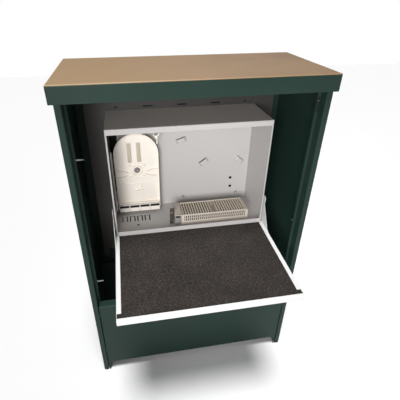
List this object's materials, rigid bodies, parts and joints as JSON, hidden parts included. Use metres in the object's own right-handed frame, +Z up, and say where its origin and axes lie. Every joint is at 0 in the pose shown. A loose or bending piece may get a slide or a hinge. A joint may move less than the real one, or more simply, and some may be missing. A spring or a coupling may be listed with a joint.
{
  "type": "roadside utility cabinet",
  "caption": "Green folded-steel street cabinet with a tan lid; a white fibre box hangs inside with its foam-padded door folded down.",
  "frame": {"origin": "on the ground, at the middle of the cabinet's footprint and of its anchor holes", "axes": "+Z up; the open front faces -Y; +X is to the right as seen from the front"},
  "size_m": [0.85, 0.6453, 1.26],
  "materials": {
    "lid_paint": "satin paint, smooth",
    "green_paint": "dark green powder coat, satin",
    "grey_paint": "light grey powder coat, matt",
    "white_paint": "white powder coat, satin",
    "foam": "open-cell foam, matt",
    "zinc": "zinc plated, satin",
    "cream_plastic": "moulded, satin",
    "beige_plastic": "moulded, satin",
    "adapter_plastic": "moulded, satin",
    "grey_plastic": "moulded, matt",
    "white_plastic": "moulded, satin",
    "black_plastic": "moulded, satin",
    "black_rubber": "matt sheet",
    "dark_steel": "dark coating, satin"
  },
  "bodies": {
    "root": {"lid": "lid_paint", "lid_nuts": "zinc", "side_panel_left": "green_paint", "side_panel_right": "green_paint", "back_panel": "green_paint", "head_rail": "green_paint", "cross_rail": "green_paint", "plate_rail_left": "grey_paint", "plate_rail_right": "grey_paint", "base_rail_left": "green_paint", "base_rail_right": "green_paint", "plinth_panel": "green_paint", "plinth_spacers": "zinc", "plinth_screws": "zinc", "mounting_plate": "grey_paint", "plate_screws": "zinc", "hinge_studs": "zinc", "keep_stud": "zinc", "strike_plate": "black_plastic", "box_shell": "white_paint", "box_bolts": "zinc", "entry_seal": "black_rubber", "pivot_pin_left": "zinc", "pivot_pin_right": "zinc", "tray_bracket": "cream_plastic", "tray_hinge_pin": "zinc", "tray_latch": "cream_plastic", "side_arm": "cream_plastic", "adapter_housing": "beige_plastic", "adapters": "adapter_plastic", "adapter_bracket": "dark_steel", "adapter_screw": "zinc", "adapter_foot": "grey_plastic", "fibre_clips": "white_plastic"},
    "door": {"box_door": "white_paint", "door_pad": "foam"},
    "tray": {"splice_tray": "cream_plastic", "splice_combs": "beige_plastic", "tray_hub": "grey_plastic"}
  },
  "joints": [
    {"name": "door_hinge", "type": "hinge", "parent": "root", "child": "door", "pos_m": [0, -0.0334, 0.6626], "axis": [-1, 0, 0], "range_deg": [0, 92.6]},
    {"name": "tray_hinge", "type": "hinge", "parent": "root", "child": "tray", "pos_m": [-0.194, 0.1073, 0.68], "axis": [1, 0, 0], "range_deg": [0, 27]}
  ]
}
